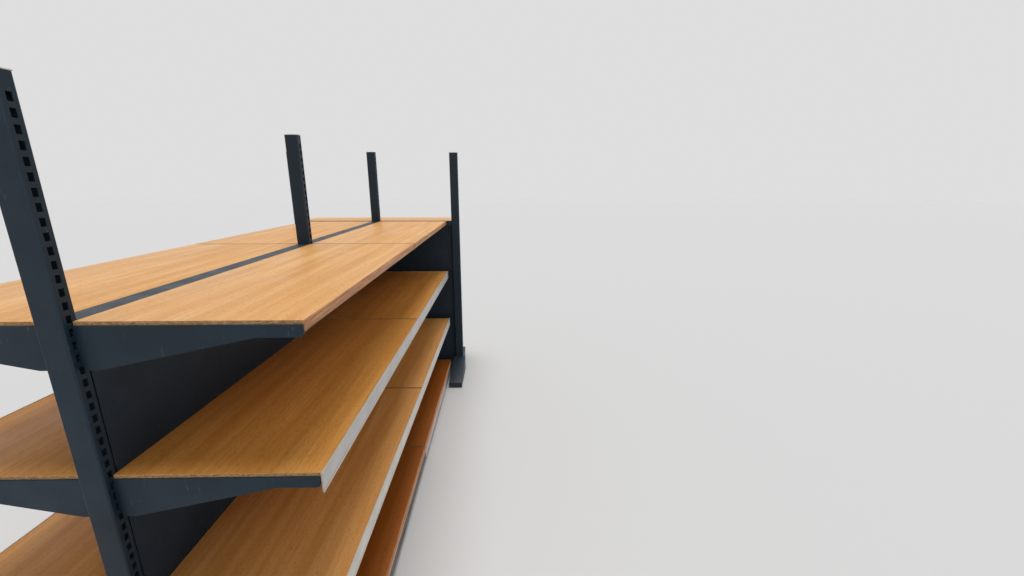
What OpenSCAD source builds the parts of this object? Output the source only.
// Double-sided shop shelving island: a run of bays with shelves on both faces of a slotted
// steel spine, and a head bay across its far end. X is across the run, Y runs along it away
// from the near end, and Z is up from the floor. The origin is the middle of the footprint.

/* [Run] */
// Number of bays in the double-sided run
bays = 2; // [2:1:5]
// Length of one bay, from post centre to post centre
bay_l = 1000; // [600:50:1330]
// Depth of a shelf with its price rail, from the face of the post
shelf_depth = 420; // [260:10:620]

/* [Head bay] */
// Depth of a head bay's shelf with its price rail, from the face of the posts
head_depth = 250; // [200:10:420]
// Distance from the front of the run's shelves out to the centre of a head post
head_post_out = 55; // [50:1:200]

/* [Tiers] */
// Height of the base shelf's surface
base_h = 80; // [70:1:140]
// Number of the slot that takes the low shelf's upper hook, counted from 0
low_slot = 10; // [8:1:13]
// Number of the slot that takes the middle shelf's upper hook
mid_slot = 23; // [18:1:28]
// Number of the slot that takes the top shelf's upper hook
top_slot = 36; // [32:1:40]

/* [Posts] */
// Height of the posts
post_h = 1450; // [1400:10:2200]
// Size of a post across the run
post_w = 50; // [40:1:80]
// Size of a post along the run
post_d = 30; // [26:1:40]
// Wall of the post's tube
post_wall = 2; // [1.5:0.1:3]
// Radius of the tube's outer corners
post_round = 4; // [3.2:0.1:6]
// Distance from one slot to the next
slot_pitch = 25; // [22:0.5:30]
// Height of a slot
slot_h = 15; // [13:0.5:18]
// Height of the lowest slot's centre
slot_first = 110; // [100:1:130]

/* [Boards] */
// Thickness of a shelf board
board_t = 22; // [16:1:30]
// Chamfer along a board's long edges
board_edge = 1.2; // [0.5:0.1:3]

/* [Price rails] */
// Height of a price rail
rail_h = 46; // [38:1:54]
// How far the base shelf's rail sits lower on its board than the others
base_rail_drop = 16; // [0:1:16]
// Depth of a price rail in front of the board
rail_d = 4; // [4:0.5:8]
// Wall of the price rail's profile
rail_wall = 1; // [0.8:0.1:1.2]
// Height of the lip that holds the ticket strip at its top
top_lip = 2.5; // [2.5:0.5:6]
// Height of the lip that holds the ticket strip at its bottom
low_lip = 4.5; // [3:0.5:8]
// Radius of the lips' outer corners
rail_round = 0.8; // [0.5:0.1:1]
// Thickness of the bare ticket strip
strip_t = 0.8; // [0.6:0.1:0.8]

/* [Brackets] */
// Thickness of a bracket's steel
bracket_t = 3; // [2:0.5:5]
// Height of a bracket at its nose
nose_h = 25; // [22:1:35]
// How far a bracket's heel reaches below its lowest hook's seat
heel_below = 18.5; // [16:0.5:40]
// Width of the ledge that carries the board
ledge_w = 20; // [12:1:30]

/* [Panels] */
// Number of panels stacked in a bay
panel_count = 3; // [1:1:6]
// Thickness of a panel's sheet
panel_t = 1.2; // [0.8:0.1:2]
// Depth of a panel's folded edges
panel_fold = 12; // [6:1:16]
// Height of the beams that tie the posts
beam_h = 30; // [20:1:34]
// Wall of the beams' tube
beam_wall = 2; // [1.5:0.1:3]

/* [Plinths] */
// Thickness of a plinth's sheet
plinth_t = 1.2; // [0.8:0.1:2]
// Depth of a plinth's folded edges
plinth_fold = 18; // [5:1:20]
// Gap between a plinth and the floor
plinth_low = 12; // [10:1:20]

/* [Feet] */
// Wall of the base legs and the rear feet
leg_wall = 2; // [1.5:0.1:3]
// Height of a levelling foot's disc
disc_h = 6; // [4:1:10]
// Radius of a levelling foot's disc
disc_r = 17; // [12:1:22]
// Radius of a levelling foot's stem
stem_r = 5; // [4:0.5:6]
// Length of the head bay's rear feet, from the face of the post
foot_l = 280; // [180:5:340]
// Width of the head bay's rear feet
foot_w = 80; // [60:2:96]
// Height of a rear foot at its tip
foot_tip_h = 33; // [24:1:45]
// Height of a rear foot at the post
foot_heel_h = 98; // [70:1:130]

/* [Hidden] */
$fn = 48;
// Clearance between pieces that are pushed together
fit = 0.3;
// Gap between the near end's bracket and the post's centre plane
web_gap = 1;
// Side play of the hooks in a slot
slot_play = 1;
// Gap between a board and the face of the posts
board_back = 1;
// How far a bracket's top edge lies below the board's surface
web_drop = 8;
// How far a bracket's nose stays behind the board's front
nose_back = 2;
// Length of the bracket's straight nose, and of its straight heel
nose_l = 90;
heel_l = 30;
// Radii of the bracket's lower corners
toe_r = 9;
heel_r = 14;
// Hooks on a bracket, and their form
hook_count = 3;
hook_t = 3;
hook_lip = 5;
hook_tip = 1;
hook_play = 1;
// Distance from a board's surface to the first hook's slot
first_hook = 20;
// How far a base leg's tip stays behind the board's front, which leaves room for the plinth's
// sheet behind the rail, the bevel of the tip, and how far the levelling foot stays behind it
leg_back = plinth_t + 2 * fit;
leg_tip = 15;
disc_back = 30;
// Base of the cone on a levelling foot's disc, and how far its top reaches past the stem
disc_rim = 3;
disc_neck = 3;
// How far a rail's top edge stands above its board's surface, where it sits no lower
rail_up = 1;
// Gap between stacked panels, and between a panel and the beams
panel_gap = 0.6;
beam_gap = 1;
// Cap on a post: its height, the bevel round its top and the plug inside the tube
cap_t = 3;
cap_bevel = 1.5;
cap_plug = 12;

low_h = slot_first + low_slot * slot_pitch + first_hook;
mid_h = slot_first + mid_slot * slot_pitch + first_hook;
top_h = slot_first + top_slot * slot_pitch + first_hook;
base_rail_z = base_h - base_rail_drop;
railed_tiers = [base_rail_z, low_h, mid_h];

slot_w = 2 * (web_gap + bracket_t + slot_play);
slot_rows = floor((post_h - slot_first - slot_pitch) / slot_pitch) + 1;
hook_neck = slot_h - hook_lip - hook_play;
lowest_seat = -first_hook - (hook_count - 1) * slot_pitch - slot_h / 2;
board_inset = web_gap + bracket_t + fit;
rail_front = shelf_depth - rail_d;
head_rail_front = head_depth - rail_d;

near_over = max(post_d / 2, disc_r);
run_l = bays * bay_l;
head_bay_l = 2 * (post_w / 2 + shelf_depth + head_post_out);
head_post_y = run_l + post_d;
total_l = near_over + head_post_y + post_d / 2 + head_depth;
run_start = near_over - total_l / 2;

panel_low = base_h - board_t + 3;
panel_high = top_h - beam_h - beam_gap;
leg_low = disc_h + 10;
leg_high = base_h - board_t;
leg_l = rail_front - leg_back;
head_leg_l = head_rail_front - leg_back;
plinth_high = leg_high - fit;

post_colour = "#33383d";
board_colour = "#d9a877";
rail_colour = "#b9b8bd";
strip_colour = "#dcdbe0";
cap_colour = "#c8c8c6";
foot_colour = "#2b2d2f";

// Frames of a bay side: x is the distance out from the posts' face, y runs along the bays
module on_right() {
    translate([post_w / 2, run_start, 0]) children();
}

module on_left() {
    mirror([1, 0, 0]) on_right() children();
}

module on_head() {
    translate([head_bay_l / 2, run_start + head_post_y + post_d / 2, 0])
        rotate([0, 0, 90]) children();
}

module at_post(i) {
    translate([0, run_start + i * bay_l, 0]) children();
}

module at_head_post(side) {
    translate([side * head_bay_l / 2, run_start + head_post_y, 0]) children();
}

// Draws its child in each bay of the run
module each_bay() {
    for (i = [0 : bays - 1]) translate([0, i * bay_l, 0]) children();
}

// A profile drawn in x and z, extruded along y from y0 to y1
module along_y(y0, y1) {
    translate([0, y1, 0]) rotate([90, 0, 0]) linear_extrude(y1 - y0) children();
}

// What is cut off a lower right corner at the origin to round it
module corner_waste(r) {
    difference() {
        translate([-r, -1]) square([r + 1, r + 1]);
        translate([-r, r]) circle(r = r);
    }
}

// A rectangle on the origin with its four corners rounded
module round_rect(w, d, r) {
    difference() {
        square([w, d], center = true);
        for (sx = [0, 1], sy = [0, 1]) mirror([sx, 0]) mirror([0, sy])
            translate([w / 2, -d / 2]) corner_waste(r);
    }
}

// A row of slots through the wall on the post's +x face
module slot_row(face_x) {
    for (i = [0 : slot_rows - 1])
        translate([face_x - post_wall - 1, -slot_w / 2, slot_first + i * slot_pitch - slot_h / 2])
            cube([post_wall + 2, slot_w, slot_h]);
}

module post_tube() {
    translate([0, 0, disc_h]) linear_extrude(post_h - disc_h) difference() {
        round_rect(post_w, post_d, post_round);
        round_rect(post_w - 2 * post_wall, post_d - 2 * post_wall, post_round - post_wall);
    }
}

module spine_post() {
    color(post_colour) difference() {
        post_tube();
        for (side = [0, 1]) mirror([side, 0, 0]) slot_row(post_w / 2);
    }
}

module head_post() {
    color(post_colour) difference() {
        post_tube();
        rotate([0, 0, 90]) slot_row(post_d / 2);
    }
}

// The side view of a cap's top, a plate of width w with bevelled edges
module cap_profile(w) {
    polygon([
        [-w / 2, 0], [w / 2, 0], [w / 2, cap_t - cap_bevel], [w / 2 - cap_bevel, cap_t],
        [cap_bevel - w / 2, cap_t], [-w / 2, cap_t - cap_bevel]
    ]);
}

module post_cap() {
    plug_w = post_w - 2 * (post_wall + fit);
    plug_d = post_d - 2 * (post_wall + fit);
    translate([0, 0, post_h]) intersection() {
        along_y(-post_d / 2, post_d / 2) cap_profile(post_w);
        rotate([0, 0, 90]) along_y(-post_w / 2, post_w / 2) cap_profile(post_d);
    }
    translate([0, 0, post_h - cap_plug]) linear_extrude(cap_plug)
        round_rect(plug_w, plug_d, post_round - post_wall);
}

module post_caps() {
    color(cap_colour) {
        for (i = [0 : bays]) at_post(i) post_cap();
        for (side = [-1, 1]) at_head_post(side) post_cap();
    }
}

// A rectangular tube that ties two posts, along y
module beam(w, length, z) {
    translate([0, 0, z + beam_h / 2]) along_y(post_d / 2 + fit, length - post_d / 2 - fit)
        difference() {
            square([w, beam_h], center = true);
            square([w - 2 * beam_wall, beam_h - 2 * beam_wall], center = true);
        }
}

module beam_pair(w, length) {
    beam(w, length, panel_low - beam_gap - beam_h);
    beam(w, length, top_h - beam_h);
}

module spine_beams() {
    color(post_colour) translate([0, run_start, 0]) each_bay() beam_pair(post_w, bay_l);
}

module head_beams() {
    span = head_bay_l - post_w + post_d;
    color(post_colour) translate([span / 2, run_start + head_post_y, 0]) rotate([0, 0, 90])
        beam_pair(post_d, span);
}

// One pressed panel: a sheet flush with the posts' face, with its long edges folded back
module panel(y0, y1, z0, z1) {
    along_y(y0, y1) difference() {
        translate([-panel_fold, z0]) square([panel_fold, z1 - z0]);
        translate([-panel_fold - 1, z0 + panel_t])
            square([panel_fold + 1 - panel_t, z1 - z0 - 2 * panel_t]);
    }
}

module panel_stack(y0, y1) {
    step = (panel_high - panel_low + panel_gap) / panel_count;
    color(post_colour) for (i = [0 : panel_count - 1])
        panel(y0, y1, panel_low + i * step, panel_low + (i + 1) * step - panel_gap);
}

module run_panels(first, last) {
    y0 = post_d / 2 + fit;
    for (i = [first : last]) {
        on_right() translate([0, i * bay_l, 0]) panel_stack(y0, bay_l - y0);
        on_left() translate([0, i * bay_l, 0]) panel_stack(y0, bay_l - y0);
    }
}

module panels_head() {
    on_head() panel_stack(post_w / 2 + fit, head_bay_l - post_w / 2 - fit);
}

// Side outline of a base leg, with its tip at x bevelled below; x runs out from the post
module leg_outline(x) {
    polygon([
        [fit, leg_low], [x - leg_tip, leg_low], [x, leg_low + leg_tip], [x, leg_high],
        [fit, leg_high]
    ]);
}

// The same outline one wall further in, and open below
module leg_hollow(x) {
    slant = leg_wall * sqrt(2);
    polygon([
        [fit + leg_wall, leg_low - 1], [x - leg_tip - slant - 1, leg_low - 1],
        [x - leg_wall, leg_low + leg_tip + slant - leg_wall],
        [x - leg_wall, leg_high - leg_wall], [fit + leg_wall, leg_high - leg_wall]
    ]);
}

// An inverted channel that carries the base boards
module base_leg(x) {
    color(post_colour) difference() {
        along_y(-post_d / 2, post_d / 2) leg_outline(x);
        along_y(leg_wall - post_d / 2, post_d / 2 - leg_wall) leg_hollow(x);
    }
}

module leg_pair(i) {
    on_right() translate([0, i * bay_l, 0]) base_leg(leg_l);
    on_left() translate([0, i * bay_l, 0]) base_leg(leg_l);
}

module head_base_legs() {
    on_head() for (y = [0, head_bay_l]) translate([0, y, 0]) base_leg(head_leg_l);
}

// A sheet that closes the base from the legs' tips at x, with its long edges folded back and
// the folds cut away round the legs
module plinth(x, length) {
    back = x + fit;
    color(post_colour) difference() {
        along_y(web_gap, length - web_gap) difference() {
            translate([back + plinth_t - plinth_fold, plinth_low])
                square([plinth_fold, plinth_high - plinth_low]);
            translate([back - plinth_fold, plinth_low + plinth_t])
                square([plinth_fold, plinth_high - plinth_low - 2 * plinth_t]);
        }
        for (y = [0, length]) translate([back - plinth_fold, y - post_d / 2 - fit, 0])
            cube([plinth_fold, post_d + 2 * fit, base_h]);
    }
}

module plinths() {
    on_right() each_bay() plinth(leg_l, bay_l);
    on_left() each_bay() plinth(leg_l, bay_l);
    on_head() plinth(head_leg_l, head_bay_l);
}

// Side outline of a rear foot, drawn in by inset; x runs from the post towards the tip
module foot_outline(inset) {
    polygon([
        [fit + inset, -inset], [foot_l - inset, -inset], [foot_l - inset, foot_tip_h - inset],
        [fit + inset, foot_heel_h - inset]
    ]);
}

// A tapered steel foot, open underneath, that stands against the post and points back along the run
module rear_foot() {
    color(post_colour) rotate([0, 0, -90]) difference() {
        along_y(-foot_w / 2, foot_w / 2) foot_outline(0);
        along_y(leg_wall - foot_w / 2, foot_w / 2 - leg_wall) foot_outline(leg_wall);
    }
}

module head_rear_feet() {
    for (side = [-1, 1]) at_head_post(side) translate([0, -post_d / 2, 0]) rear_foot();
}

// A disc with a conical top, on a threaded stem that reaches up to the top wall of the leg
// whose tip is at x
module leg_foot(x) {
    translate([x - disc_back, 0, 0]) {
        cylinder(r = disc_r, h = disc_rim);
        translate([0, 0, disc_rim])
            cylinder(r1 = disc_r, r2 = stem_r + disc_neck, h = disc_h - disc_rim);
        translate([0, 0, disc_h]) cylinder(r = stem_r, h = leg_high - leg_wall - disc_h);
    }
}

module levelling_feet() {
    post_disc_r = post_d / 2 - 1;
    color(foot_colour) {
        for (i = [0 : bays]) {
            on_right() translate([0, i * bay_l, 0]) leg_foot(leg_l);
            on_left() translate([0, i * bay_l, 0]) leg_foot(leg_l);
            at_post(i) cylinder(r = post_disc_r, h = disc_h);
        }
        on_head() for (y = [0, head_bay_l]) translate([0, y, 0]) leg_foot(head_leg_l);
        for (side = [-1, 1]) at_head_post(side) cylinder(r = post_disc_r, h = disc_h);
    }
}

// A board with chamfered front edges, its surface at height z and its front at x
module board(x, length, z) {
    e = board_edge;
    color(board_colour) translate([0, 0, z]) along_y(board_inset, length - board_inset)
        polygon([
            [board_back, 0], [x - e, 0], [x, -e], [x, e - board_t], [x - e, -board_t],
            [board_back, -board_t]
        ]);
}

// Section of a price rail, a thin profile with its back on the board's front at x = 0: lips
// with rounded corners above and below a front that is open for the strip
module rail_section() {
    low = rail_up - rail_h;
    difference() {
        translate([0, low]) square([rail_d, rail_h]);
        translate([rail_d, low]) corner_waste(rail_round);
        translate([rail_d, rail_up]) mirror([0, 1]) corner_waste(rail_round);
        translate([rail_wall, low + rail_wall])
            square([rail_d - 2 * rail_wall, rail_h - 2 * rail_wall]);
        translate([rail_d - rail_wall - 0.1, low + low_lip])
            square([rail_wall + 1, rail_h - low_lip - top_lip]);
    }
}

// A rail on the front of a board that ends at x, with its top edge rail_up above height z
module rail(x, length, z) {
    color(rail_colour) translate([x, 0, z]) along_y(web_gap, length - web_gap) rail_section();
}

// The strip of such a rail, just behind its lips
module strip(x, length, z) {
    color(strip_colour) translate([x, 0, z]) along_y(web_gap, length - web_gap)
        translate([rail_d - rail_wall - fit - strip_t, rail_up - rail_h + rail_wall + fit])
            square([strip_t, rail_h - 2 * (rail_wall + fit)]);
}

module strips_of_bay(x, length) {
    for (z = railed_tiers) strip(x, length, z);
}

module ticket_strips() {
    on_right() each_bay() strips_of_bay(rail_front, bay_l);
    on_left() each_bay() strips_of_bay(rail_front, bay_l);
    on_head() strips_of_bay(head_rail_front, head_bay_l);
}

// A hook that passes through a slot, rests on its lower edge and drops behind the post's wall
module hook(seat) {
    front = -post_wall - fit;
    back = front - hook_t;
    polygon([
        [fit, seat], [front, seat], [front, seat - hook_lip], [back + hook_tip, seat - hook_lip],
        [back, seat - hook_lip + hook_tip], [back, seat + hook_neck], [fit, seat + hook_neck]
    ]);
}

// Outline of a bracket's web with its hooks, up to the nose at x
module web_outline(x) {
    nose_low = -web_drop - nose_h;
    heel_low = lowest_seat - heel_below;
    difference() {
        polygon([
            [fit, -web_drop], [x, -web_drop], [x, nose_low], [x - nose_l, nose_low],
            [heel_l, heel_low], [fit, heel_low]
        ]);
        translate([x, nose_low]) corner_waste(toe_r);
        translate([fit, heel_low]) mirror([1, 0]) corner_waste(heel_r);
    }
    for (k = [0 : hook_count - 1]) hook(-first_hook - k * slot_pitch - slot_h / 2);
}

// One bracket at the start of a bay: an upright web beside the board's end with a ledge under it
module bracket(front, z) {
    nose = front - nose_back;
    translate([0, 0, z]) {
        along_y(web_gap, web_gap + bracket_t) web_outline(nose);
        along_y(web_gap, web_gap + bracket_t + ledge_w)
            translate([heel_l, -board_t - bracket_t]) square([nose - heel_l, bracket_t]);
    }
}

// A left and a right bracket for the two ends of a bay
module bracket_pair(front, length, z) {
    color(post_colour) {
        bracket(front, z);
        translate([0, length, 0]) mirror([0, 1, 0]) bracket(front, z);
    }
}

module run_boards(z, front) {
    each_bay() board(front, bay_l, z);
}

module run_rails(z) {
    each_bay() rail(rail_front, bay_l, z);
}

module run_brackets(z, front) {
    each_bay() bracket_pair(front, bay_l, z);
}

module head_rails() {
    on_head() for (z = railed_tiers) rail(head_rail_front, head_bay_l, z);
}

module head_brackets() {
    on_head() {
        for (z = [low_h, mid_h]) bracket_pair(head_rail_front, head_bay_l, z);
        bracket_pair(head_depth, head_bay_l, top_h);
    }
}

at_post(0) spine_post();  // spine_post_near
for (i = [1 : bays - 1]) at_post(i) spine_post();  // spine_post_middle
at_post(bays) spine_post();  // spine_post_far
at_head_post(1) head_post();  // head_post_right
at_head_post(-1) head_post();  // head_post_left
post_caps();
spine_beams();
head_beams();
run_panels(0, 0);  // panels_near_bay
run_panels(1, bays - 1);  // panels_far_bay
panels_head();
leg_pair(0);  // base_legs_near
for (i = [1 : bays - 1]) leg_pair(i);  // base_legs_middle
leg_pair(bays);  // base_legs_far
head_base_legs();
head_rear_feet();
plinths();
levelling_feet();
on_right() run_boards(base_h, rail_front);  // base_boards_right
on_left() run_boards(base_h, rail_front);  // base_boards_left
on_right() run_boards(low_h, rail_front);  // low_boards_right
on_left() run_boards(low_h, rail_front);  // low_boards_left
on_right() run_boards(mid_h, rail_front);  // mid_boards_right
on_left() run_boards(mid_h, rail_front);  // mid_boards_left
on_right() run_boards(top_h, shelf_depth);  // top_boards_right
on_left() run_boards(top_h, shelf_depth);  // top_boards_left
on_head() board(head_rail_front, head_bay_l, base_h);  // head_base_board
on_head() board(head_rail_front, head_bay_l, low_h);  // head_low_board
on_head() board(head_rail_front, head_bay_l, mid_h);  // head_mid_board
on_head() board(head_depth, head_bay_l, top_h);  // head_top_board
on_right() run_rails(base_rail_z);  // base_rails_right
on_left() run_rails(base_rail_z);  // base_rails_left
on_right() run_rails(low_h);  // low_rails_right
on_left() run_rails(low_h);  // low_rails_left
on_right() run_rails(mid_h);  // mid_rails_right
on_left() run_rails(mid_h);  // mid_rails_left
head_rails();
ticket_strips();
on_right() run_brackets(low_h, rail_front);  // low_brackets_right
on_left() run_brackets(low_h, rail_front);  // low_brackets_left
on_right() run_brackets(mid_h, rail_front);  // mid_brackets_right
on_left() run_brackets(mid_h, rail_front);  // mid_brackets_left
on_right() run_brackets(top_h, shelf_depth);  // top_brackets_right
on_left() run_brackets(top_h, shelf_depth);  // top_brackets_left
head_brackets();
